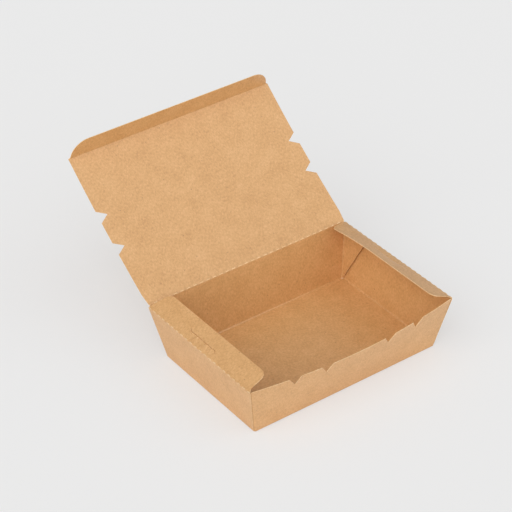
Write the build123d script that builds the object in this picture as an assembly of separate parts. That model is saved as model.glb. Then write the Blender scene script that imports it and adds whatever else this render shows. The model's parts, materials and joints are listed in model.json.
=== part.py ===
from build123d import *
import os
from math import asin, atan2, cos, degrees, hypot, radians, sin, sqrt

# A takeaway lunch box: one sheet of kraft board, die-cut, creased, folded and glued. Millimetres.
# +Z is up, +X runs along the front wall and +Y goes back to the lid hinge.
# The origin is the middle of the base's underside. The box stands open, its lid leaning back.

# Tray
BASE_LENGTH = 180.0        # along X, between the side walls' folds
BASE_WIDTH = 120.0         # along Y, between the front and back walls' folds
WALL_HEIGHT = 48.6         # from the table to the side flaps' folds
SIDE_FLARE = 9.5           # how far a side wall leans out over its height
END_FLARE = 9.1            # how far the front and back walls lean out over it
BOARD = 0.5                # thickness of the board
FRONT_BOW = 7.5            # how far the front wall's free edge bows out at its middle
CORNER_GAP = 1.0           # between a side wall's cut edge and the corner, at the base
CORNER_GAP_TOP = 0.25      # the same at the top
TAB_REACH = 32.0           # top length of a glue tab, from its corner
TAB_DROP = 1.0             # a glue tab stops this far under the side wall's fold

# Folds
FOLD_CLEARANCE = 0.1       # between a wall's rounded top and the flap that turns on it
HINGE_RISE = 0.8           # the lid's fold lies this far over the side flaps' folds

# Lid
LID_LEAN = 52.6            # from upright, leaning back
LID_BOW = 2.3              # the lid's middle stands this far behind its chord
LID_OVERHANG = 0.0         # how far each lid edge passes the side walls' folds
LID_NECK = 1.2             # how much narrower each side is at the hinge
LID_NECK_LENGTH = 10.0     # the edge runs out to full width over this length

# Tuck flap
TUCK_DEPTH = 16.5
TUCK_FOLD = 68.9           # turned in from the flat of the lid
TUCK_SHOULDER = 0.3        # straight stretch between the fold and each rounded corner
TUCK_CLEARANCE = 0.25      # to the front wall, with the lid closed
TUCK_SIDE_CLEARANCE = 0.5  # to the glue tabs, with the lid closed

# Side flaps
FLAP_DEPTH = 19.7
FLAP_RISE = 24.1           # from level, with the box open
FLAP_FRONT_CLEARANCE = 0.9  # to the front wall, at the fold
FLAP_RELIEF = 1.8          # the front end steps back by this much, so that the tuck flap swings past it
FLAP_RELIEF_LENGTH = 3.5   # over this distance from the fold
FLAP_FRONT_TAPER = 0.6     # the rest of the front end slants back by this much more
FLAP_BACK_CLEARANCE = 1.0  # to the lid, upright
FLAP_BACK_TAPER = 5.8      # the back end slants forward by this much
FLAP_FRONT_RADIUS = 6.0    # corner of the free edge, at the front
FLAP_BACK_RADIUS = 14.0    # and at the back

# The slit in a side flap, cut parallel to its fold
SLIT_LENGTH = 30.0
SLIT_OFFSET = 7.0          # from the fold
SLIT_SHIFT = 2.5           # its middle lies this far behind the wall's middle
SLIT_WIDTH = 0.4
SLIT_CURL = 3.5            # radius of the quarter turn at each end of the slit

# V notches, in pairs: one pair in each side edge of the lid, two pairs in the front wall
NOTCH_WIDTH = 10.8
NOTCH_DEPTH = 8.4
NOTCH_SPACING = 29.4       # between the two notches of a pair
FRONT_PAIR_SPACING = 91.0  # between the front wall's two pairs

side_lean = atan2(SIDE_FLARE, WALL_HEIGHT)
end_lean = atan2(END_FLARE, WALL_HEIGHT)
side_skin = BOARD / cos(side_lean)     # the board's thickness along X in a side wall
end_skin = BOARD / cos(end_lean)       # along Y in the front and back walls
half_length = BASE_LENGTH / 2
half_width = BASE_WIDTH / 2
top_half_length = half_length + SIDE_FLARE
top_half_width = half_width + END_FLARE
nose = BOARD / 2                       # radius of the rounded edge at a fold
fold_start = nose + FOLD_CLEARANCE     # a flap starts this far from its fold's axis

# Fold axes, in the middle of the board at the top of each wall
flap_axis_x = top_half_length - nose * cos(side_lean)
flap_axis_z = WALL_HEIGHT + nose * sin(side_lean)
back_height = WALL_HEIGHT + HINGE_RISE
back_flare = END_FLARE * back_height / WALL_HEIGHT
hinge_y = half_width + back_flare - nose * cos(end_lean)
hinge_z = back_height + nose * sin(end_lean)


def panel(corners, inward):
    """Flat board: its outer face has these corners, its thickness goes inward."""
    return extrude(Face(Wire.make_polygon(corners, close=True)), amount=BOARD, dir=inward)


def rounded_top(start, length, direction):
    """The half-round edge of a wall or the lid, about the axis of the fold there."""
    return extrude(Plane(origin=start, z_dir=direction) * Circle(nose), amount=length)


def notch():
    """V-shaped cutter in XY: its mouth lies on the X axis, its tip at -Y."""
    overrun = NOTCH_DEPTH / 8          # the cutter passes the board's edge by this much
    spread = NOTCH_WIDTH / 2 * (1 + overrun / NOTCH_DEPTH)
    return make_face(Polyline((-spread, overrun), (spread, overrun), (0, -NOTCH_DEPTH), close=True))


def side_wall(side):
    """Left (-1) or right (+1) wall, with the rounded fold that its flap turns on."""
    front_low, front_high = half_width - CORNER_GAP, top_half_width - CORNER_GAP_TOP
    corners = [
        (side * half_length, -front_low, 0),
        (side * half_length, front_low, 0),
        (side * top_half_length, front_high, WALL_HEIGHT),
        (side * top_half_length, -front_high, WALL_HEIGHT),
    ]
    wall = panel(corners, (-side * cos(side_lean), 0, sin(side_lean)))
    return wall + rounded_top((side * flap_axis_x, -front_high, flap_axis_z), 2 * front_high, (0, 1, 0))


def glue_tab(side, end):
    """Triangular end of the front (-1) or back (+1) wall, glued inside a side wall."""
    top = WALL_HEIGHT - TAB_DROP
    share = top / WALL_HEIGHT
    low_x = half_length - side_skin
    high_x = half_length + SIDE_FLARE * share - side_skin
    corners = [
        (side * low_x, end * half_width, 0),
        (side * high_x, end * (half_width + END_FLARE * share), top),
        (side * high_x, end * (top_half_width - TAB_REACH), top),
    ]
    return panel(corners, (-side * cos(side_lean), 0, sin(side_lean)))


def back_wall():
    """Back wall, between the side walls, up to the lid's fold."""
    low = half_length - side_skin
    high = top_half_length + SIDE_FLARE * HINGE_RISE / WALL_HEIGHT - side_skin
    corners = [
        (-low, half_width, 0),
        (low, half_width, 0),
        (high, half_width + back_flare, back_height),
        (-high, half_width + back_flare, back_height),
    ]
    wall = panel(corners, (0, -cos(end_lean), sin(end_lean)))
    return wall + rounded_top((-high, hinge_y, hinge_z), 2 * high, (1, 0, 0))


def front_wall():
    """Front wall: straight at its fold, bowed out at its free edge, with its four V notches."""
    low = half_length - side_skin
    high = top_half_length - side_skin
    slant = hypot(END_FLARE, WALL_HEIGHT)
    middle_flare = END_FLARE + FRONT_BOW
    middle_height = sqrt(slant**2 - middle_flare**2)    # the bowed edge dips: the board doesn't stretch
    fold = Edge.make_line((-low, -half_width, 0), (low, -half_width, 0))
    free_edge = Edge.make_three_point_arc(
        (-high, -top_half_width, WALL_HEIGHT),
        (0, -half_width - middle_flare, middle_height),
        (high, -top_half_width, WALL_HEIGHT),
    )
    outer_face = Face.make_surface_from_curves(fold, free_edge)
    wall = Solid.thicken(outer_face, BOARD, normal_override=(0, 1, 0))
    bow_radius = (high**2 + FRONT_BOW**2) / (2 * FRONT_BOW)
    for pair in (-1, 1):
        for place in (-1, 1):
            x = pair * FRONT_PAIR_SPACING / 2 + place * NOTCH_SPACING / 2
            bow_here = FRONT_BOW - (bow_radius - sqrt(bow_radius**2 - x**2))
            edge_z = sqrt(slant**2 - (END_FLARE + bow_here) ** 2)
            mouth = Plane(origin=(x, 0, edge_z), x_dir=(1, 0, 0), z_dir=(0, -1, 0))
            wall = wall - extrude(mouth * notch(), amount=2 * top_half_width)
    return wall


def tray():
    """Base, walls and glue tabs, folded from the one sheet."""
    base = extrude(Rectangle(BASE_LENGTH, BASE_WIDTH), amount=BOARD)
    body = base + front_wall() + back_wall()
    for side in (-1, 1):
        body = body + side_wall(side)
        for end in (-1, 1):
            body = body + glue_tab(side, end)
    return body


# The lid's own plane: X across, Y from the hinge to the tuck flap's fold, +Z on its inner side
lid_lean = radians(LID_LEAN)
lid_plane = Plane(origin=(0, hinge_y, hinge_z), x_dir=(1, 0, 0), z_dir=(0, -cos(lid_lean), sin(lid_lean)))
lid_length = hinge_y + top_half_width - end_skin - TUCK_CLEARANCE - nose
lid_half_width = top_half_length + LID_OVERHANG


def lid():
    """Lid: a shallow arch about X, a V notch pair in each side edge, and a rounded end for the tuck flap."""
    radius = (lid_length**2 / 4 + LID_BOW**2) / (2 * LID_BOW)
    half_angle = degrees(asin(lid_length / 2 / radius))
    hinge_trim = degrees(fold_start / radius)
    centre = (lid_length / 2, radius - LID_BOW)
    middle_line = CenterArc(centre, radius, 270 - half_angle + hinge_trim, 2 * half_angle - hinge_trim)
    arch = extrude(Plane.YZ * trace(middle_line, BOARD), amount=lid_half_width, both=True)
    neck = lid_half_width - LID_NECK
    sheet = make_face(Polyline(
        (-neck, 0), (neck, 0), (lid_half_width, LID_NECK_LENGTH), (lid_half_width, lid_length),
        (-lid_half_width, lid_length), (-lid_half_width, LID_NECK_LENGTH), close=True,
    ))
    for side in (-1, 1):
        for place in (-1, 1):
            mouth = Location((side * lid_half_width, lid_length / 2 + place * NOTCH_SPACING / 2), -90 * side)
            sheet = sheet - mouth * notch()
    reach = 2 * (LID_BOW + BOARD)
    flat_end = rounded_top((-lid_half_width, lid_length, 0), 2 * lid_half_width, (1, 0, 0))
    return lid_plane.location * ((arch & extrude(sheet, amount=reach, both=True)) + flat_end)


def tuck_flap():
    """Tuck flap on the lid's free edge, its outer corners rounded to its full depth."""
    half_span = top_half_length - 2 * side_skin - TUCK_SIDE_CLEARANCE
    outline = make_face(Polyline(
        (-half_span, fold_start), (half_span, fold_start),
        (half_span, TUCK_DEPTH), (-half_span, TUCK_DEPTH), close=True,
    ))
    far_corners = outline.vertices().group_by(Axis.Y)[-1]
    outline = fillet(far_corners, TUCK_DEPTH - fold_start - TUCK_SHOULDER)
    fold = lid_plane.location * Location((0, lid_length, 0)) * Rotation(TUCK_FOLD, 0, 0)
    return fold * extrude(outline, amount=nose, both=True)


def flap_slit():
    """Cutter for a slit along Y whose two ends curl to opposite sides."""
    half = SLIT_LENGTH / 2
    straight = Line((0, -half), (0, half))
    back_curl = JernArc((0, half), tangent=(0, 1), radius=SLIT_CURL, arc_size=-90)
    front_curl = JernArc((0, -half), tangent=(0, -1), radius=SLIT_CURL, arc_size=-90)
    return trace([front_curl, straight, back_curl], SLIT_WIDTH)


def side_flap(side):
    """Left (-1) or right (+1) flap, hinged on its wall and raised a little over the tray."""
    front = end_skin + FLAP_FRONT_CLEARANCE - top_half_width
    back = hinge_y - nose - FLAP_BACK_CLEARANCE
    outline = make_face(Polyline(
        (fold_start, front), (FLAP_RELIEF_LENGTH, front + FLAP_RELIEF),
        (FLAP_DEPTH, front + FLAP_RELIEF + FLAP_FRONT_TAPER),
        (FLAP_DEPTH, back - FLAP_BACK_TAPER), (fold_start, back), close=True,
    ))
    for end, radius in ((0, FLAP_FRONT_RADIUS), (-1, FLAP_BACK_RADIUS)):
        free_edge = outline.edges().filter_by(Axis.Y).sort_by(Axis.X)[-1]
        corner = free_edge.vertices().sort_by(Axis.Y)[end]
        outline = fillet(outline.vertices().sort_by_distance(corner)[0], radius)
    outline = outline - Location((SLIT_OFFSET, SLIT_SHIFT)) * flap_slit()
    rise = radians(FLAP_RISE)
    plane = Plane(
        origin=(side * flap_axis_x, 0, flap_axis_z),
        x_dir=(-side * cos(rise), 0, sin(rise)),
        z_dir=(-sin(rise), 0, -side * cos(rise)),
    )
    return plane.location * extrude(outline, amount=nose, both=True)


parts = {
    "tray": tray(),
    "lid": lid(),
    "tuck_flap": tuck_flap(),
    "left_flap": side_flap(-1),
    "right_flap": side_flap(1),
}
os.makedirs("parts", exist_ok=True)
for name, solid in parts.items():
    export_step(solid, f"parts/{name}.step")
print(f"lid fold axis: y {hinge_y:.4f} z {hinge_z:.4f}, lid length {lid_length:.4f}")
print(f"side flap fold axes: x {flap_axis_x:.4f} z {flap_axis_z:.4f}")
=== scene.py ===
import json
from math import cos, hypot, pi, radians, sin, tan

import bpy
import numpy as np
from mathutils import Matrix, Vector


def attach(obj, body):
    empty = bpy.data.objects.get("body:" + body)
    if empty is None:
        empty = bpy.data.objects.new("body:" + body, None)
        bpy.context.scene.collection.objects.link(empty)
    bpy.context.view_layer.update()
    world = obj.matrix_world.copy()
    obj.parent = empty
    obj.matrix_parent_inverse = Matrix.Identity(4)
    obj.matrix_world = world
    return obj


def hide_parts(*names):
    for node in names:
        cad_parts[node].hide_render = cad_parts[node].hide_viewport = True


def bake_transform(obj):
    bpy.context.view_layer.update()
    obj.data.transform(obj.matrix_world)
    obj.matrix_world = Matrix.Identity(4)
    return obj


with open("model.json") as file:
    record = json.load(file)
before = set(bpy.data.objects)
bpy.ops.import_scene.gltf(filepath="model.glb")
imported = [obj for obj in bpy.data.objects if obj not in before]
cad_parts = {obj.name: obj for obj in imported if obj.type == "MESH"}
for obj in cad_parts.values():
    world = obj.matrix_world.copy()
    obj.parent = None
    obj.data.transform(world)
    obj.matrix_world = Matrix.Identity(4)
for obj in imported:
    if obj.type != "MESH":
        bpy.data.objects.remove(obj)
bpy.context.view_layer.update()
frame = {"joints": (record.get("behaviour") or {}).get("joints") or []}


# Camera
# A long lens beyond the front left corner, rolled a little, aimed between the tray and the lid.
MM = 0.001
azimuth, elevation, roll = radians(-35.36), radians(34.89), radians(-1.27)
distance, target = 1513.6 * MM, np.array((-42.96, -0.80, 112.5)) * MM
focal_share, SENSOR = 3.8625, 36.0         # focal length over the sensor's width, and that width
back = np.array((sin(azimuth) * cos(elevation), -cos(azimuth) * cos(elevation), sin(elevation)))
right = np.cross((0, 0, 1), back)
right /= np.linalg.norm(right)
up = np.cross(back, right)
place = np.eye(4)
place[:3, 0] = cos(roll) * right + sin(roll) * up
place[:3, 1] = cos(roll) * up - sin(roll) * right
place[:3, 2] = back
place[:3, 3] = target + distance * back
camera = bpy.data.objects.new("camera", bpy.data.cameras.new("camera"))
camera.matrix_world = Matrix(place.tolist())
camera.data.sensor_width = SENSOR
camera.data.lens = SENSOR * focal_share
camera.data.clip_end = 20
bpy.context.scene.collection.objects.link(camera)
bpy.context.scene.camera = camera


# Unbleached kraft board: softwood fibres pressed into a half-millimetre sheet, rolled smooth and given a thin
# water-based coat, so it is matt straight on and a little shiny along the surface. Its fibres give a faint
# streak along the sheet, soft mottling a few millimetres across, and a few dark bark specks.
FIBRE_LENGTH, FIBRE_WIDTH = 2.4, 0.6       # real fibres are finer; drawn as coarse as they need to show
MOTTLE, CLOUD, CLOUD_SHARE = 1.7, 14.0, 0.2
TONE_HALF = 0.14                           # how far from the middle tone the darkest and palest browns lie
SPECK_SPACING, SPECK_SIZE, SPECK_DARKNESS = 9.0, 0.35, 0.55
FUZZ_STRENGTH, FUZZ_HEIGHT = 0.25, 0.05


def linear(colour):
    """sRGB hex colour to linear RGBA."""
    srgb = np.array([int(colour[i:i + 2], 16) for i in (1, 3, 5)]) / 255
    return (*np.where(srgb <= 0.04045, srgb / 12.92, ((srgb + 0.055) / 1.055) ** 2.4).tolist(), 1.0)


def add(tree, kind, settings, **links):
    """Adds a node: settings names its attributes and socket values, links its inputs' sources."""
    node = tree.nodes.new(kind)
    for name, value in settings.items():
        if hasattr(node, name):
            setattr(node, name, value)
        else:
            node.inputs[name if not name.isdigit() else int(name)].default_value = value
    for name, source in links.items():
        key = name.strip("_")
        tree.links.new(source, node.inputs[int(key) if key.isdigit() else key])
    return node


def kraft_board(name, colour, dark, pale, roughness, shine):
    """Kraft board: mottle and streaks from a dark to a pale brown, with dark specks and a fibrous bump."""
    material = bpy.data.materials.new(name)
    material.use_nodes = True
    tree = material.node_tree
    shader = tree.nodes["Principled BSDF"]
    sheet = add(tree, "ShaderNodeUVMap", {"uv_map": "sheet"}).outputs["UV"]
    streaked = add(tree, "ShaderNodeMapping", {"Scale": (1, FIBRE_WIDTH / FIBRE_LENGTH, 1)}, Vector=sheet)
    fibre = add(tree, "ShaderNodeTexNoise", {"Scale": 1 / (FIBRE_WIDTH * MM), "Detail": 3.0},
                Vector=streaked.outputs[0])
    solid = add(tree, "ShaderNodeTexCoord", {}).outputs["Object"]
    mottle = add(tree, "ShaderNodeTexNoise", {"Scale": 1 / (MOTTLE * MM), "Detail": 4.0}, Vector=solid)
    cloud = add(tree, "ShaderNodeTexNoise", {"Scale": 1 / (CLOUD * MM), "Detail": 2.0}, Vector=solid)
    spots = add(tree, "ShaderNodeTexVoronoi", {"Scale": 1 / (SPECK_SPACING * MM)}, Vector=solid)
    core, rim = (share * SPECK_SIZE / SPECK_SPACING for share in (0.4, 2.0))
    speck = add(tree, "ShaderNodeMapRange",
                {"From Min": core, "From Max": rim, "To Min": SPECK_DARKNESS, "To Max": 0.0},
                Value=spots.outputs["Distance"])
    both = add(tree, "ShaderNodeMix", {"Factor": 0.5}, A=fibre.outputs["Fac"], B=mottle.outputs["Fac"])
    tone = add(tree, "ShaderNodeMix", {"Factor": CLOUD_SHARE}, A=both.outputs[0], B=cloud.outputs["Fac"])
    ramp = add(tree, "ShaderNodeValToRGB", {}, Fac=tone.outputs[0])
    darkest, palest = ramp.color_ramp.elements
    darkest.position, darkest.color = 0.5 - TONE_HALF, linear(dark)
    palest.position, palest.color = 0.5 + TONE_HALF, linear(pale)
    ramp.color_ramp.elements.new(0.5).color = linear(colour)
    specked = add(tree, "ShaderNodeMix", {"data_type": "RGBA", "blend_type": "MULTIPLY"},
                  Factor=speck.outputs[0])
    tree.links.new(ramp.outputs[0], specked.inputs[6])
    specked.inputs[7].default_value = linear("#8a5a2c")
    tree.links.new(specked.outputs[2], shader.inputs["Base Color"])
    bump = add(tree, "ShaderNodeBump", {"Strength": FUZZ_STRENGTH, "Distance": FUZZ_HEIGHT * MM},
               Height=both.outputs[0])
    tree.links.new(bump.outputs[0], shader.inputs["Normal"])
    shader.inputs["Roughness"].default_value = roughness
    shader.inputs["Specular IOR Level"].default_value = shine
    return material


coated_board = kraft_board("coated kraft board", "#d8a569", "#c79259", "#e5b47c", 0.42, 1.0)
# A cut edge and a torn lip show the board's uncoated middle, which is paler and quite dull.
cut_board = kraft_board("die-cut kraft board edge", "#ecc898", "#e2bb88", "#f4d6ac", 0.8, 0.3)


# Tray sheet: base, back wall and front wall in one run of board, folded up at the base's long edges. The back
# wall ends in the lid's perforated fold; the front wall's free edge bows out and has four V notches.
# Sheets are worked out flat, as the die cuts them, and then folded into place by a formula.
BOARD = 0.5
BASE_LENGTH, BASE_WIDTH, WALL_HEIGHT = 180.0, 120.0, 48.6
SIDE_FLARE, END_FLARE, FRONT_BOW = 9.5, 9.1, 7.5   # how far the walls lean out at the rim, and the front's bow
BEND = 0.8                                 # radius of a base fold, to the middle of the board
BEAD, BEAD_HALF = 0.4, 0.5                 # the creasing rule presses a bead into the inside of a fold
TAB_BEND, TAB_SPACE = 0.9, 0.2             # a glue tab's radius at its corner, and its space to the side wall
PERFORATION, CUT_SHARE = 6.35, 0.5         # a 3.2 mm cut, then 3.2 mm of uncut crease
HAIR = 0.02                                # columns stand this far each side of the end of a cut
CREASE, LID_TOOTH = 0.7, 0.25              # a crease's reach each side of its fold, and a cut edge's past it
FOLD_INSIDE, FOLD_OUTSIDE = 1.0, 1.5       # a base fold's close rows reach this far past its arc
PAST_RIM = 1.05                            # walls go on widening a little past the rim
NOTCH_WIDTH, NOTCH_DEPTH = 10.8, 8.4
NOTCH_SPACING, FRONT_PAIRS = 29.4, 91.0    # between a pair's notches, and between the front wall's two pairs
side_lean, end_lean = np.arctan2(SIDE_FLARE, WALL_HEIGHT), np.arctan2(END_FLARE, WALL_HEIGHT)
side_skin = BOARD / cos(side_lean)
joints = {joint["name"]: joint for joint in frame["joints"]}
hinge = np.array(joints["lid_hinge"]["pos_m"]) / MM
sheet_half = BASE_LENGTH / 2 - 1.5 * side_skin - TAB_BEND - TAB_SPACE


def fold(s, start, turn, radius):
    """A line that runs straight to start, turns up through an arc of that radius, and runs straight on, with a
    bead pressed in at the middle of the arc: its coordinates along and above the first run, at length s."""
    angle = np.clip((s - start) / radius, 0, turn)
    past = np.maximum(s - start - radius * turn, 0)
    bead = BEAD * np.exp(-(((s - start - radius * turn / 2) / BEAD_HALF) ** 2))
    along = np.minimum(s, start) + radius * np.sin(angle) + past * np.cos(turn) - bead * np.sin(angle)
    return along, radius * (1 - np.cos(angle)) + past * np.sin(turn) + bead * np.cos(angle)


def board_sheet(name, body, surface, u, v, kept=None, torn=None):
    """A closed sheet of board. surface(u, v) takes flat positions on the blank, in millimetres, to its middle
    surface. The two skins lie half a thickness either side of it along its normal, the cross product of its two
    slopes, and a rim closes the edges of the kept cells. torn marks cells whose coat has broken."""
    step = 0.01
    slope_u = surface(u + step, v) - surface(u - step, v)
    slope_v = surface(u, v + step) - surface(u, v - step)
    normal = np.cross(slope_u, slope_v)
    normal *= BOARD / 2 / np.linalg.norm(normal, axis=-1, keepdims=True)
    middle = surface(u, v)
    n, m = u.shape
    kept = np.ones((n - 1, m - 1), bool) if kept is None else kept
    top = np.arange(n * m).reshape(n, m)
    low = top + n * m
    skin = np.stack((top[:-1, :-1], top[1:, :-1], top[1:, 1:], top[:-1, 1:]), -1)[kept]
    under = np.stack((low[:-1, :-1], low[:-1, 1:], low[1:, 1:], low[1:, :-1]), -1)[kept]
    padded = np.pad(kept, 1)
    before, after = padded[:-1, 1:-1], padded[1:, 1:-1]
    rim_v = np.stack((top[:, :-1], top[:, 1:], low[:, 1:], low[:, :-1]), -1)
    left, over = padded[1:-1, :-1], padded[1:-1, 1:]
    rim_u = np.stack((top[:-1, :], top[1:, :], low[1:, :], low[:-1, :]), -1)
    rim = np.concatenate((
        rim_v[after & ~before], rim_v[before & ~after][:, ::-1],
        rim_u[left & ~over], rim_u[over & ~left][:, ::-1],
    ))
    quads = np.concatenate((skin, under, rim))
    used, quads = np.unique(quads, return_inverse=True)
    quads = quads.reshape(-1, 4)
    points = np.concatenate(((middle + normal).reshape(-1, 3), (middle - normal).reshape(-1, 3)))[used] * MM
    flat = np.tile(np.stack((u, v), -1).reshape(-1, 2), (2, 1))[used] * MM
    mesh = bpy.data.meshes.new(name)
    mesh.from_pydata(points.tolist(), [], quads.tolist())
    mesh.uv_layers.new(name="sheet").data.foreach_set("uv", flat[quads.ravel()].ravel().astype(np.float32))
    mesh.materials.append(coated_board)
    mesh.materials.append(cut_board)
    slots = np.zeros(len(quads), np.int32)
    slots[len(skin) + len(under):] = 1
    if torn is not None:
        slots[:len(skin)] = slots[len(skin):len(skin) + len(under)] = torn[kept]
    mesh.polygons.foreach_set("material_index", slots)
    mesh.shade_smooth()
    mesh.set_sharp_from_angle(angle=radians(40))
    piece = bpy.data.objects.new(name, mesh)
    bpy.context.scene.collection.objects.link(piece)
    if body:
        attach(piece, body)
    return piece


def is_cut(x):
    """True where the perforating rule cuts through: the middle half of each period."""
    return np.abs((x / PERFORATION) % 1 - 0.5) < CUT_SHARE / 2


def cut_cells(x):
    """True for the spaces between columns that lie within a cut."""
    return is_cut((x[1:] + x[:-1]) / 2) & (np.diff(x) > 5 * HAIR)


def rule_columns(half):
    """Positions along a perforated fold: a pair at each end of each cut, and both ends of the fold."""
    k = np.arange(-int(half / PERFORATION) - 1, int(half / PERFORATION) + 1) + 0.5
    ends = np.concatenate([k + side * CUT_SHARE / 2 for side in (-1, 1)]) * PERFORATION
    ends = ends[np.abs(ends) < half - 10 * HAIR]
    return np.unique(np.concatenate(([-half, half], ends - HAIR, ends + HAIR)))


def v_notches(x, centres):
    """Depth of the notches at x: each falls off linearly from its tip."""
    return sum(np.maximum(0, NOTCH_DEPTH * (1 - np.abs(x - c) * 2 / NOTCH_WIDTH)) for c in centres)


def wall_start(half, turn):
    """Where the fold's arc starts, so that the outer faces of base and wall would meet at half."""
    return half - (BOARD / 2 + BEND) * np.tan(turn / 2)


end_turn = pi / 2 - end_lean
end_start = wall_start(BASE_WIDTH / 2, end_turn)
back_meet = BASE_WIDTH / 2 - BOARD / 2 * tan(end_turn / 2)
bend_saving = BEND * (2 * tan(end_turn / 2) - end_turn)   # an arc is shorter than its two tangents
back_length = back_meet + hypot(hinge[1] - back_meet, hinge[2] - BOARD / 2) - bend_saving
front_slant = hypot(END_FLARE, WALL_HEIGHT)
front_length = back_meet + front_slant - bend_saving
top_flat = sheet_half + SIDE_FLARE


def end_half(s):
    """Half the sheet's width at length s from the base's middle: even over the base, wider up the walls."""
    height = (np.abs(s) - end_start) / (front_length - end_start)
    return sheet_half + SIDE_FLARE * np.clip(height, 0, PAST_RIM)


def tray_surface(x, s):
    """Base level, walls folded up; the front wall leans out more towards its middle, by a parabola in x."""
    share = np.clip(x / end_half(s), -1, 1)
    bow = np.where(s < 0, FRONT_BOW * (1 - share**2), 0)
    turn = pi / 2 - np.arcsin((END_FLARE + bow) / front_slant)
    along, above = fold(np.abs(s), wall_start(BASE_WIDTH / 2, turn), turn, BEND)
    return np.stack((x, np.sign(s) * along, BOARD / 2 + above), -1)


notch_centres = [pair * FRONT_PAIRS / 2 + place * NOTCH_SPACING / 2 for pair in (-1, 1) for place in (-1, 1)]
corners = np.array([c + k * NOTCH_WIDTH / 2 for c in notch_centres for k in (-1, 0, 1)])
top_x = np.unique(np.concatenate((rule_columns(top_flat), corners)))
column = (top_x / top_flat)[:, None]
wall_rows = np.linspace(0, 1, 15)
back_end = np.where(is_cut(top_x), back_length + LID_TOOTH, back_length - CREASE)[:, None]
front_end = (front_length - v_notches(top_x, notch_centres))[:, None]
low_s = end_start - FOLD_INSIDE
high_s = end_start + BEND * end_turn + FOLD_OUTSIDE
front_s = -(high_s + (front_end - high_s) * wall_rows[::-1])
back_s = high_s + (back_end - high_s) * wall_rows
fold_s = np.linspace(low_s, high_s, 15)[1:-1]
base_s = np.linspace(-low_s, low_s, 21)
middle_s = np.concatenate((-fold_s[::-1], base_s, fold_s))[None, :] + 0 * column
s = np.concatenate((front_s, middle_s, back_s), 1)
tray_sheet = board_sheet("tray_sheet", "tray", tray_surface, column * end_half(s), s)
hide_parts("tray")


# Side walls: each is folded up from the base's short edge and glued over the front and back walls' tabs.
# Its upright ends are cut a little short of the corners, and its top is the side flap's perforated fold.
CORNER_GAP, CORNER_GAP_TOP = 1.4, 0.25     # a wall's ends stop short of the corners by this, at base and rim
SIDE_TOOTH, LIP = 0.3, 0.8                 # a cut edge stands this far past the fold, with this long a torn lip
flap_axis = np.array(joints["right_flap_fold"]["pos_m"]) / MM
side_turn = pi / 2 - side_lean
side_start = wall_start(BASE_LENGTH / 2, side_turn)
side_meet = BASE_LENGTH / 2 - BOARD / 2 * tan(side_turn / 2)
side_length = (side_meet + hypot(flap_axis[0] - side_meet, flap_axis[2] - BOARD / 2)
               - BEND * (2 * tan(side_turn / 2) - side_turn))


def side_half(s):
    """Half the wall's length along Y at length s from the base's middle."""
    low, high = BASE_WIDTH / 2 - CORNER_GAP, BASE_WIDTH / 2 + END_FLARE - CORNER_GAP_TOP
    return low + (high - low) * np.clip((s - side_start) / (side_length - side_start), 0, PAST_RIM)


for side, name in ((-1, "left_wall"), (1, "right_wall")):
    def side_surface(y, s, side=side):
        """Level at the base's edge, then folded up."""
        along, above = fold(s, side_start, side_turn, BEND)
        return np.stack((side * along, side * y, BOARD / 2 + above), -1)

    top_y = rule_columns(side_half(side_length))
    column = (top_y / side_half(side_length))[:, None]
    end = np.where(is_cut(top_y), side_length + SIDE_TOOTH, side_length - CREASE)[:, None]
    side_high = side_start + BEND * side_turn + FOLD_OUTSIDE
    bend_s = np.linspace(sheet_half, side_high, 18)[None, :-1] + 0 * column
    s = np.concatenate((bend_s, side_high + (end - LIP - side_high) * wall_rows, end), 1)
    torn = np.zeros((len(top_y) - 1, s.shape[1] - 1), bool)
    torn[:, -1] = cut_cells(top_y)
    wall = board_sheet(name, "tray", side_surface, column * side_half(s), s, torn=torn)
    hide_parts("tray")


# Glue tabs: the triangular ends of the front and back walls, of the same sheet as those walls. Each turns
# round its corner and is glued inside the side wall, and its free edge stands a little off the wall.
TAB_REACH, TAB_START, TAB_DROP = 32.0, 0.2, 1.0   # length at the top, and the ends' distance from base and rim
LIFT_FULL = 8.0                            # a tab reaching less than this lifts less
for side in (-1, 1):
    for end, name, tab_lift in ((-1, "front", 0.1), (1, "back", 1.25)):
        def tab_surface(p, s, side=side, end=end, tab_lift=tab_lift):
            """From the end wall's edge at length s, a turn round the corner, then straight along the side."""
            edge = tray_surface(side * end_half(s), end * s)
            height = np.clip((s - end_start) / (front_length - end_start), 0, 1)
            skew = np.arctan(2 * FRONT_BOW / top_flat * height) * (end < 0)
            heading = np.minimum(skew + p / TAB_BEND, pi / 2)
            straight = np.maximum(p - TAB_BEND * (pi / 2 - skew), 0)
            reach = TAB_REACH * np.maximum(height, 0.01)
            lift = tab_lift * np.minimum(reach / LIFT_FULL, 1) * np.minimum(straight / reach, 1) ** 3
            out = TAB_BEND * (np.sin(heading) - np.sin(skew)) - lift
            inward = TAB_BEND * (np.cos(skew) - np.cos(heading)) + straight
            return edge + np.stack((side * out, -end * inward, 0 * out), -1)

        # The first part of the columns, to 1, goes round the corner, and the rest lie along the side wall.
        part = np.concatenate((np.linspace(0, 0.999, 7), np.linspace(1, 2, 12)))[:, None]
        tab_low, tab_high = end_start + TAB_START, front_length - TAB_DROP * np.minimum(part, 1)
        s = tab_low + (tab_high - tab_low) * np.linspace(0, 1, 14)[None, :]
        reach = TAB_REACH * (s - end_start) / (front_length - end_start)
        p = TAB_BEND * pi / 2 * np.minimum(part, 1) + reach * np.maximum(part - 1, 0)
        order = side * end                 # keeps the skins in the same order at all four corners
        tab = board_sheet(f"{name}_tab_{'left' if side < 0 else 'right'}", "tray", tab_surface,
                          p[::order], s[::order])
        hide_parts("tray")


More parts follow.
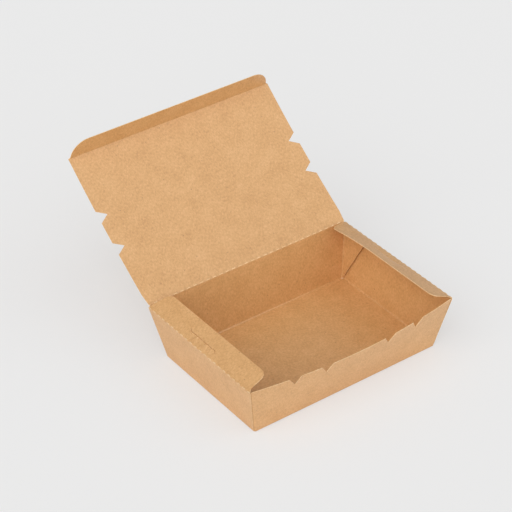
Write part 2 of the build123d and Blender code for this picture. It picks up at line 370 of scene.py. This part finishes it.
# Lid: one panel of the sheet, bowed a little away from the tray, with a V notch pair in each side edge.
# Its lower edge is the perforated fold to the back wall, and its far edge the one to the tuck flap.
LID_LEAN, LID_BOW = radians(52.6), 2.3
LID_NECK, NECK_LENGTH = 1.2, 10.0          # each side is drawn in by this at the hinge, over this length
LID_MARGIN, TUCK_TOOTH = 2.0, 0.15         # the even rows' distance from the folds, and a cut edge's reach past
tuck_axis = np.array(joints["tuck_fold"]["pos_m"]) / MM
lid_length = np.linalg.norm(tuck_axis - hinge)
lid_half_width = BASE_LENGTH / 2 + SIDE_FLARE
lid_up = np.array((0, sin(LID_LEAN), cos(LID_LEAN)))
lid_in = np.array((0, -cos(LID_LEAN), sin(LID_LEAN)))


def drawn_to(x, half, full, margin=25.0):
    """Columns that keep their place, but the outer ones are drawn in or out so that the last is at half."""
    share = np.clip((np.abs(x) - full + margin) / margin, 0, 1)
    return x + np.sign(x) * (half - full) * share


def lid_half(s):
    """Half width at length s, less the notches."""
    neck = LID_NECK * np.clip(1 - s / NECK_LENGTH, 0, 1)
    return lid_half_width - neck - v_notches(s, lid_notches)


def lid_surface(x, s):
    """A shallow parabolic arch over the chord from the hinge to the tuck flap's fold, bulging outwards."""
    share = s / lid_length
    bow = 4 * LID_BOW * share * (1 - share)
    return hinge + np.stack((x, 0 * x, 0 * x), -1) + s[..., None] * lid_up - bow[..., None] * lid_in


fold_half = lid_half_width - LID_NECK
lid_x = rule_columns(fold_half)
column = lid_x[:, None]
lid_notches = [lid_length / 2 + place * NOTCH_SPACING / 2 for place in (-1, 1)]
notch_s = [c + k * NOTCH_WIDTH / 2 for c in lid_notches for k in (-1, 0, 1)]
even_s = np.linspace(LID_MARGIN, lid_length - LID_MARGIN, 34)
rows = np.unique(np.concatenate((even_s, notch_s, [NECK_LENGTH])))
start = np.where(is_cut(lid_x), 0.0, CREASE)[:, None]
stop = np.where(is_cut(lid_x), lid_length + TUCK_TOOTH, lid_length - CREASE)[:, None]
s = np.concatenate((start, start + LIP, rows[None, :] + 0 * column, stop), 1)
torn = np.zeros((len(lid_x) - 1, s.shape[1] - 1), bool)
torn[:, 0] = cut_cells(lid_x)
lid_sheet = board_sheet("lid_sheet", "lid", lid_surface, drawn_to(column, lid_half(s), fold_half), s,
                        torn=torn)
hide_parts("lid")


# Tuck flap: the last panel of the sheet, folded in from the lid's far edge. Its outer corners are rounded to
# nearly its full depth, and it is narrower than the lid, so that it slides down inside the front wall.
TUCK_DEPTH, TUCK_FOLD, TUCK_CLEARANCE = 16.5, radians(68.9), 0.9
TUCK_STRAIGHT, HORN_DEPTH = 1.0, 1.5       # the corners' start, and the depth of the flare to the lid's width
tuck_half = lid_half_width - 2 * side_skin - TUCK_CLEARANCE
tuck_out = cos(TUCK_FOLD) * lid_up + sin(TUCK_FOLD) * lid_in


def tuck_surface(x, d):
    """Flat, at the fold's angle to the lid."""
    return tuck_axis + np.stack((x, 0 * x, 0 * x), -1) + d[..., None] * tuck_out


corner = TUCK_DEPTH - TUCK_STRAIGHT
angle = np.linspace(0, pi / 2, 16)[None, :]
start = np.where(is_cut(lid_x), 0.0, CREASE)[:, None]
d = np.concatenate((start, TUCK_STRAIGHT + corner * np.sin(angle) + 0 * column), 1)
half = np.concatenate((tuck_half + 0 * start, tuck_half - corner * (1 - np.cos(angle)) + 0 * column), 1)
half += (lid_half_width - tuck_half) * np.maximum(1 - d / HORN_DEPTH, 0) ** 2
tuck_sheet = board_sheet("tuck_sheet", "tuck_flap", tuck_surface, drawn_to(column, half, fold_half), d)
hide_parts("tuck_flap")


# Side flaps: a dust flap folded in from the top of each side wall and raised a little, with a slit that curls
# at its ends. The front end steps back to let the tuck flap past, and the free edge has rounded corners.
FLAP_DEPTH, FLAP_RISE = 19.7, radians(24.1)
FLAP_FRONT, FLAP_BACK = 0.9, 0.3           # space left to the front and back walls
FLAP_STEP, FLAP_STEP_LENGTH = 1.8, 3.5     # the front end's step back, made over the second from the fold
FLAP_TAPER, FLAP_BACK_TAPER = 0.6, 5.8     # how far the ends then draw in by the free edge
FRONT_RADIUS, BACK_RADIUS = 6.0, 8.0
FLAP_SAG, SAG_START, SAG_FOLD = 0.26, 10.0, 4.0   # the right flap's back end droops past these y and depth
FAN = 4.0                                  # columns fan out to the ends from this far inside the straight edge
BACK_RUN = 1.8                             # the last column's end, in tangent lengths from the back corner
CUT_BACK, FOLD_MARGIN = 0.45, 0.3          # a cut edge's distance from the fold, and the cuts' from its ends
SLIT_LENGTH, SLIT_WIDTH = 30.0, 0.55
SLIT_OFFSET, SLIT_SHIFT = 7.0, 2.5         # its distance from the fold, and its middle's Y
SLIT_CURL, CURL_SWEEP = 3.5, radians(76)   # radius and turn of the slit's ends
LIP_REACH = 2.2                            # how far the lift of the slit's free side takes to die away


def rounded(a, corner, b, radius, count):
    """Points on the arc that rounds the corner between the lines to a and b, tangent to both."""
    to_a, to_b = (a - corner) / np.linalg.norm(a - corner), (b - corner) / np.linalg.norm(b - corner)
    half_angle = np.arccos(np.clip(to_a @ to_b, -1, 1)) / 2
    centre = corner + (to_a + to_b) / np.linalg.norm(to_a + to_b) * radius / sin(half_angle)
    tangent = radius / tan(half_angle)
    first, last = corner + to_a * tangent - centre, corner + to_b * tangent - centre
    sweep = np.arccos(np.clip(first @ last / radius**2, -1, 1))
    t = np.linspace(0, 1, count)[:, None]
    return centre + (np.sin((1 - t) * sweep) * first + np.sin(t * sweep) * last) / sin(sweep)


flap_front = BOARD / cos(end_lean) + FLAP_FRONT - BASE_WIDTH / 2 - END_FLARE
flap_back = hinge[1] - BOARD / 2 - FLAP_BACK
step_end = np.array((FLAP_STEP_LENGTH, flap_front + FLAP_STEP))
front_corner = np.array((FLAP_DEPTH, flap_front + FLAP_STEP + FLAP_TAPER))
back_corner = np.array((FLAP_DEPTH, flap_back - FLAP_BACK_TAPER))
front_arc = rounded(step_end, front_corner, back_corner, FRONT_RADIUS, 14)
back_arc = rounded(front_corner, back_corner, np.array((CREASE, flap_back)), BACK_RADIUS, 18)
straight_y = np.linspace(front_arc[-1, 1], back_arc[0, 1], 90)[1:-1]
free_edge = np.concatenate((
    np.linspace(step_end, front_arc[0], 6)[:-1], front_arc,
    np.stack((FLAP_DEPTH + 0 * straight_y, straight_y), -1), back_arc,
    [back_corner + (back_arc[-1] - back_corner) * BACK_RUN],
))
run = np.concatenate(([0], np.cumsum(np.linalg.norm(np.diff(free_edge, axis=0), axis=1))))
fan_front, fan_back = front_arc[-1, 1] + FAN, back_arc[0, 1] - FAN
run_front, run_back = np.interp((fan_front, fan_back), free_edge[:, 1], run)
slit_low, slit_high = SLIT_SHIFT - SLIT_LENGTH / 2, SLIT_SHIFT + SLIT_LENGTH / 2


def slit_line(y):
    """Distance from the fold: even, then curling to the free edge at the back and to the fold in front."""
    past = np.clip(np.maximum(y - slit_high, slit_low - y), 0, SLIT_CURL * sin(CURL_SWEEP))
    return SLIT_OFFSET + np.sign(y - SLIT_SHIFT) * (SLIT_CURL - np.sqrt(SLIT_CURL**2 - past**2))


def flap_plane(side, d, y, lift):
    """Flat positions on a flap, lifted off its plane by lift, in the frame."""
    inward = cos(FLAP_RISE) * d - sin(FLAP_RISE) * lift
    above = sin(FLAP_RISE) * d + cos(FLAP_RISE) * lift
    return np.stack((side * (flap_axis[0] - inward), y, flap_axis[2] + above), -1)


rule = rule_columns(BASE_WIDTH)
flap_columns = rule[(rule > flap_front + FOLD_MARGIN) & (rule < flap_back - FOLD_MARGIN)]
curl = SLIT_CURL * np.sin(np.linspace(0, CURL_SWEEP, 9))
fold_y = np.unique(np.concatenate((
    flap_columns, np.linspace(flap_front, fan_front, 24), np.linspace(fan_back, flap_back, 32),
    slit_high + curl, slit_low - curl,
)))
along = np.interp(fold_y, (flap_front, fan_front, fan_back, flap_back), (0, run_front, run_back, run[-1]))
edge_d, edge_y = np.interp(along, run, free_edge[:, 0]), np.interp(along, run, free_edge[:, 1])
start = np.where(is_cut(fold_y), CUT_BACK, CREASE)[:, None]
line = slit_line(fold_y)[:, None]
before_slit, after_slit = (1.2, 2.4), (13.5, 15.0, 17.0)
about_slit = (-SLIT_WIDTH / 2, SLIT_WIDTH / 2, 0.6, 1.8)
depths = (0 * line, 0 * line + before_slit, line + about_slit, 0 * line + after_slit, 0 * line + FLAP_DEPTH)
share = np.concatenate(depths, 1) / FLAP_DEPTH
d = start + (edge_d[:, None] - start) * share
y = fold_y[:, None] + (edge_y - fold_y)[:, None] * share
centre = (fold_y[1:] + fold_y[:-1]) / 2
kept = np.ones((len(fold_y) - 1, d.shape[1] - 1), bool)
kept[(centre > slit_low - curl[-1]) & (centre < slit_high + curl[-1]), 1 + len(before_slit)] = False
# The slit's free side stands up on the left flap and down on the right one.
for side, name, slit_lip in ((-1, "left", 0.45), (1, "right", -0.9)):
    def flap_surface(y, d, side=side, slit_lip=slit_lip):
        """Flat, but the slit's free side stands off the plane, dying away towards the free edge, and the right
        flap droops by the square of the distance past where its droop starts."""
        beyond = d - slit_line(y)
        window = np.clip(1 - ((y - SLIT_SHIFT) / (SLIT_LENGTH / 2 + SLIT_CURL)) ** 2, 0, 1)
        lift = slit_lip * window * np.where(beyond > 0, np.exp(-np.abs(beyond) / LIP_REACH), 0)
        past = np.clip((y - SAG_START) / (flap_back - SAG_START), 0, 1)
        droop = FLAP_SAG * past**2 * np.maximum(d - SAG_FOLD, 0)
        return flap_plane(side, d, y, lift - (side > 0) * droop)

    flap = board_sheet(f"{name}_flap_sheet", f"{name}_flap", flap_surface, y, d, kept)
    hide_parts(f"{name}_flap")


# Perforated folds: the uncut bridges between the cuts, at the folds of the lid, tuck flap and side flaps. Each
# is a strip of the same sheet, only creased, and curves from one panel into the next at the fold's rest angle.
wall_down = np.array((0, -sin(end_lean), -cos(end_lean)))


def crease(name, columns, places, axis, along, first, second, bodies):
    """The bridges of one fold through the point axis, in the unit direction along. first and second are unit
    directions from the fold into its two panels, and places are the columns as they lie along it."""

    def crease_surface(x, t):
        """A quadratic curve from one panel to the other, with the fold's line as its control point."""
        share = (t[..., None] / CREASE + 1) / 2
        return axis + x[..., None] * along + (1 - share) ** 2 * CREASE * first + share**2 * CREASE * second

    t = np.linspace(-CREASE, CREASE, 9)[None, :] + 0 * columns[:, None]
    bridge = ~is_cut((columns[1:] + columns[:-1]) / 2) & (np.diff(columns) > 5 * HAIR)
    kept = np.repeat(bridge[:, None], t.shape[1] - 1, 1)
    bridges = board_sheet(name, None, crease_surface, places[:, None] + 0 * t, t, kept)
    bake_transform(bridges)
    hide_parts(bodies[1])


across, lengthwise = np.array((1.0, 0, 0)), np.array((0, 1.0, 0))
crease("lid_crease", lid_x, lid_x, hinge, across, wall_down, lid_up, ("tray", "lid"))
crease("tuck_crease", lid_x, drawn_to(lid_x, lid_half_width, fold_half), tuck_axis, across, -lid_up, tuck_out,
       ("lid", "tuck_flap"))
for side, name in ((-1, "left_flap"), (1, "right_flap")):
    side_axis = np.array((side * flap_axis[0], 0, flap_axis[2]))
    side_down = np.array((-side * sin(side_lean), 0, -cos(side_lean)))
    flap_in = np.array((-side * cos(FLAP_RISE), 0, sin(FLAP_RISE)))
    crease(f"{name}_crease", flap_columns, flap_columns, side_axis, lengthwise, side_down, flap_in,
           ("tray", name))


# Stage
# A plain pale floor, a broad soft key light from the left, a weaker fill from the front right, a dim even sky.
# The floor is lit as pale paper, but the camera sees it partly in an even colour, so its shadows stay light.
bpy.context.scene.view_settings.view_transform = "Standard"
PALE, PAPER, SKY = "#eaeaea", "#f6f6f6", 0.42
SHADOW = 0.45                              # the lit floor's share in what the camera sees of it
FLOOR_HALF = 6.0
# Each light: the direction towards it, how far it alone takes white paper to white, and its width in degrees.
LIGHTS = {"key": ((-0.72, -0.30, 0.62), 0.5, 70), "fill": ((0.28, -0.78, 0.56), 0.28, 90)}
for name, (towards, share, width) in LIGHTS.items():
    light = bpy.data.objects.new(f"{name}_light", bpy.data.lights.new(f"{name}_light", "SUN"))
    light.data.energy = pi * share
    light.data.angle = radians(width)
    light.rotation_mode = "QUATERNION"
    light.rotation_quaternion = Vector(towards).to_track_quat("Z", "Y")
    bpy.context.scene.collection.objects.link(light)
paper = bpy.data.materials.new("matt paper backdrop")
paper.use_nodes = True
tree = paper.node_tree
lit = tree.nodes["Principled BSDF"]
lit.inputs["Base Color"].default_value = linear(PAPER)
lit.inputs["Roughness"].default_value = 1.0
lit.inputs["Specular IOR Level"].default_value = 0.0
own = add(tree, "ShaderNodeEmission", {"Color": linear(PALE), "Strength": 1.0})
seen = add(tree, "ShaderNodeLightPath", {}).outputs["Is Camera Ray"]
share = add(tree, "ShaderNodeMath", {"operation": "MULTIPLY", "1": 1 - SHADOW}, _0=seen)
mixed = add(tree, "ShaderNodeMixShader", {}, _0=share.outputs[0], _1=lit.outputs[0], _2=own.outputs[0])
tree.links.new(mixed.outputs[0], tree.nodes["Material Output"].inputs["Surface"])
floor_mesh = bpy.data.meshes.new("floor")
floor_corners = [(x * FLOOR_HALF, y * FLOOR_HALF, 0) for x, y in ((-1, -1), (1, -1), (1, 1), (-1, 1))]
floor_mesh.from_pydata(floor_corners, [], [(0, 1, 2, 3)])
floor_mesh.materials.append(paper)
floor = bpy.data.objects.new("floor", floor_mesh)
bpy.context.scene.collection.objects.link(floor)
world = bpy.data.worlds.new("studio")
bpy.context.scene.world = world
world.use_nodes = True
tree = world.node_tree
seen = add(tree, "ShaderNodeLightPath", {}).outputs["Is Camera Ray"]
colour = add(tree, "ShaderNodeMix", {"data_type": "RGBA"}, Factor=seen)
colour.inputs[6].default_value = (SKY, SKY, SKY, 1)
colour.inputs[7].default_value = linear(PALE)
tree.links.new(colour.outputs[2], tree.nodes["Background"].inputs["Color"])
